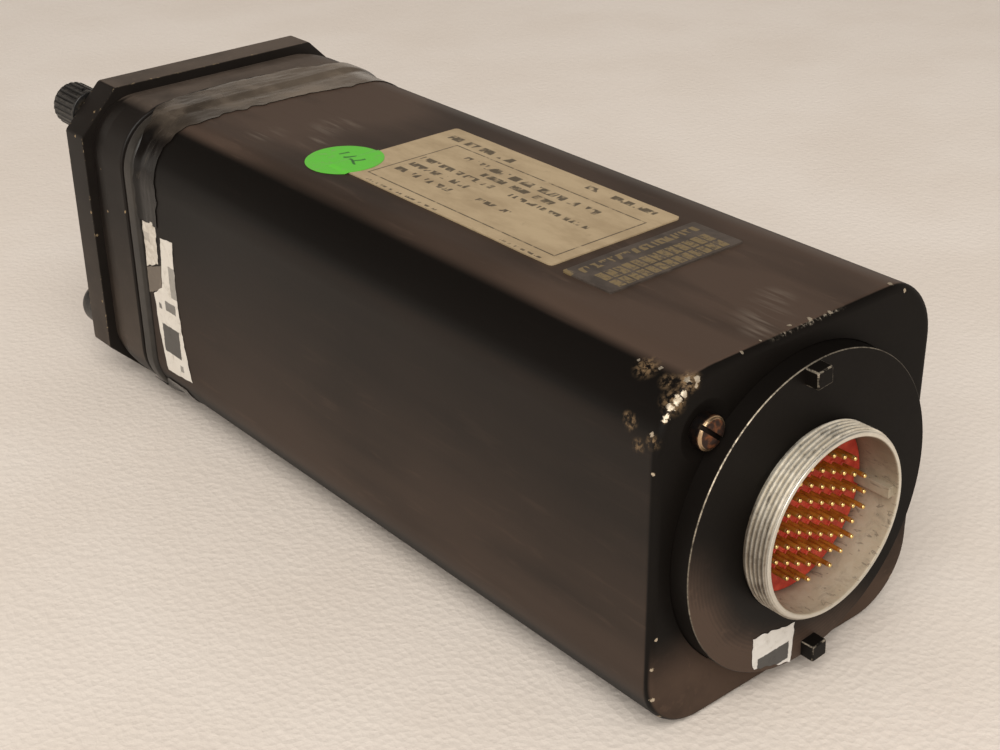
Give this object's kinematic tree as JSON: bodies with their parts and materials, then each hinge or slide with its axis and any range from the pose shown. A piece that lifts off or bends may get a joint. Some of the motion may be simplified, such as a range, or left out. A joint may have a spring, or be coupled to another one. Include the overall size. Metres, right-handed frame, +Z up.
{
  "type": "gyro compass indicator",
  "caption": "Panel compass indicator: square drawn case, cornered bezel with two knobs, geared compass card and heading index, threaded multi-contact rear connector.",
  "frame": {"origin": "middle of the rear face of the bezel flange, which seats on the panel", "axes": "+Y rearwards along the case to the connector, dial faces -Y; +Z up as the unit lies in the picture, on its side; the twelve o'clock mark of the dial points to -X"},
  "size_m": [0.0846, 0.2469, 0.0846],
  "materials": {
    "case_paint": "worn satin black",
    "bezel_paint": "worn satin black",
    "rubber": "matt",
    "glass": "clear",
    "dial_black": "matt black",
    "bare_aluminium": "dirty bare metal",
    "steel": "satin",
    "brass": "satin",
    "gold": "polished plating",
    "insert_red": "matt",
    "worn_screw": "worn",
    "plate_foil": "satin foil",
    "plate_dark": "printed foil",
    "knob_plastic": "satin moulded",
    "phenolic": "matt",
    "motor_can": "satin",
    "board": "lacquered",
    "card_face": "matt black",
    "index_orange": "matt orange",
    "flag_white": "matt",
    "lamp_glass": "clear",
    "wire": "laced bundle"
  },
  "bodies": {
    "housing": {"case": "case_paint", "bezel": "bezel_paint", "case_seal": "rubber", "window_gasket": "rubber", "window_glass": "glass", "window_ring": "dial_black", "dial_mask": "dial_black", "front_plate": "bare_aluminium", "middle_plate": "bare_aluminium", "rear_bulkhead": "bare_aluminium", "front_posts": "steel", "middle_posts": "steel", "rear_posts": "steel", "rear_boss": "case_paint", "connector_shell": "bare_aluminium", "connector_insert": "insert_red", "connector_contacts": "gold", "case_screw": "worn_screw", "nameplate": "plate_foil", "record_plate": "plate_dark", "heading_bushing": "brass", "sync_bushing": "brass", "sync_switch": "phenolic", "card_bearings": "steel", "reduction_bushing": "brass", "sum_arbor": "steel", "servo_motor": "motor_can", "follow_up_synchro": "motor_can", "synchro_clamps": "steel", "annunciator_coil": "phenolic", "dial_lamps": "lamp_glass", "amplifier_board": "board", "power_board": "board", "power_transformer": "steel", "board_capacitors": "bare_aluminium", "rear_wiring": "wire"},
    "card": {"compass_card": "card_face", "card_shaft": "steel", "card_gear": "brass", "shaft_coupling": "steel", "synchro_rotor": "steel"},
    "index": {"heading_index": "index_orange", "index_gear": "brass"},
    "sum_input": {"sum_input_gear": "brass"},
    "sum_output": {"sum_output_pinion": "brass"},
    "sum_drum": {"sum_drum": "brass"},
    "heading_control": {"heading_knob": "knob_plastic", "heading_shaft": "steel", "heading_set_screw": "steel"},
    "sync_control": {"sync_knob": "knob_plastic", "sync_shaft": "steel", "sync_set_screw": "steel"},
    "reduction": {"reduction_gear": "brass"},
    "motor_rotor": {"motor_pinion": "steel"},
    "flag": {"annunciator_flag": "flag_white"}
  },
  "joints": [
    {"name": "card_turn", "type": "hinge", "parent": "housing", "child": "card", "pos_m": [0, 0, 0], "axis": [0, 1, 0], "continuous": true},
    {"name": "index_turn", "type": "hinge", "parent": "card", "child": "index", "pos_m": [0, 0, 0], "axis": [0, 1, 0], "continuous": true},
    {"name": "sum_input_turn", "type": "hinge", "parent": "housing", "child": "sum_input", "pos_m": [0.02459, 0, 0.02048], "axis": [0, 1, 0], "continuous": true},
    {"name": "sum_output_turn", "type": "hinge", "parent": "sum_input", "child": "sum_output", "pos_m": [0.02459, 0, 0.02048], "axis": [0, 1, 0], "continuous": true},
    {"name": "sum_drum_turn", "type": "hinge", "parent": "housing", "child": "sum_drum", "pos_m": [0.02459, 0, 0.02048], "axis": [0, 1, 0], "continuous": true},
    {"name": "heading_knob_turn", "type": "hinge", "parent": "housing", "child": "heading_control", "pos_m": [0.0333, 0, 0.0333], "axis": [0, 1, 0], "continuous": true},
    {"name": "sync_knob_turn", "type": "hinge", "parent": "housing", "child": "sync_control", "pos_m": [0.0333, 0, -0.0266], "axis": [0, 1, 0], "range_deg": [-30, 30], "stiffness_Nm_per_rad": 0.01},
    {"name": "reduction_turn", "type": "hinge", "parent": "housing", "child": "reduction", "pos_m": [-0.02036, 0, -0.02036], "axis": [0, 1, 0], "continuous": true},
    {"name": "motor_turn", "type": "hinge", "parent": "housing", "child": "motor_rotor", "pos_m": [-0.00536, 0, -0.02036], "axis": [0, 1, 0], "continuous": true},
    {"name": "flag_turn", "type": "hinge", "parent": "housing", "child": "flag", "pos_m": [0.01627, 0, -0.03489], "axis": [0, 1, 0], "range_deg": [-25, 25], "stiffness_Nm_per_rad": 0.0004}
  ],
  "couplings": [
    {"joint": "sum_input_turn", "follows": "card_turn", "ratio": -3},
    {"joint": "reduction_turn", "follows": "card_turn", "ratio": -5},
    {"joint": "motor_turn", "follows": "card_turn", "ratio": 20},
    {"joint": "heading_knob_turn", "follows": "index_turn", "ratio": 7.8},
    {"joint": "sum_drum_turn", "follows": "index_turn", "ratio": -1.5},
    {"joint": "sum_output_turn", "follows": "index_turn", "ratio": -3}
  ]
}
